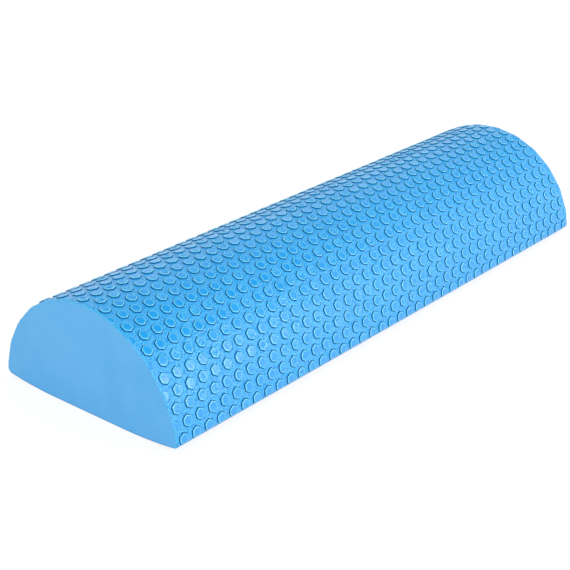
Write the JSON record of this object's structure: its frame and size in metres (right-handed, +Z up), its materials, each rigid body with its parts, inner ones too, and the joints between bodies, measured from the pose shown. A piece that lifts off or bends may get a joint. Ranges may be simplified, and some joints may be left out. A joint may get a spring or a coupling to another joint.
{
  "type": "half round foam roller",
  "caption": "Half round foam roller for yoga, pilates and balance exercises: a D-shaped foam block with a dotted round side and a flat base that it stands on.",
  "frame": {"origin": "under the middle of the flat base, on the surface that the roller stands on", "axes": "+X along the roller, +Y across it, +Z up from the flat base to the crown of the round side"},
  "size_m": [0.45, 0.1514, 0.074],
  "materials": {
    "core_foam": "smooth matt closed-cell foam, sky blue",
    "skin_foam": "satin moulded foam skin with a fine leather grain, sky blue",
    "base_foam": "smooth satin foam sheet, sky blue"
  },
  "bodies": {
    "root": {"foam_core": "core_foam", "dotted_skin": "skin_foam", "base_skin": "base_foam"}
  },
  "joints": []
}
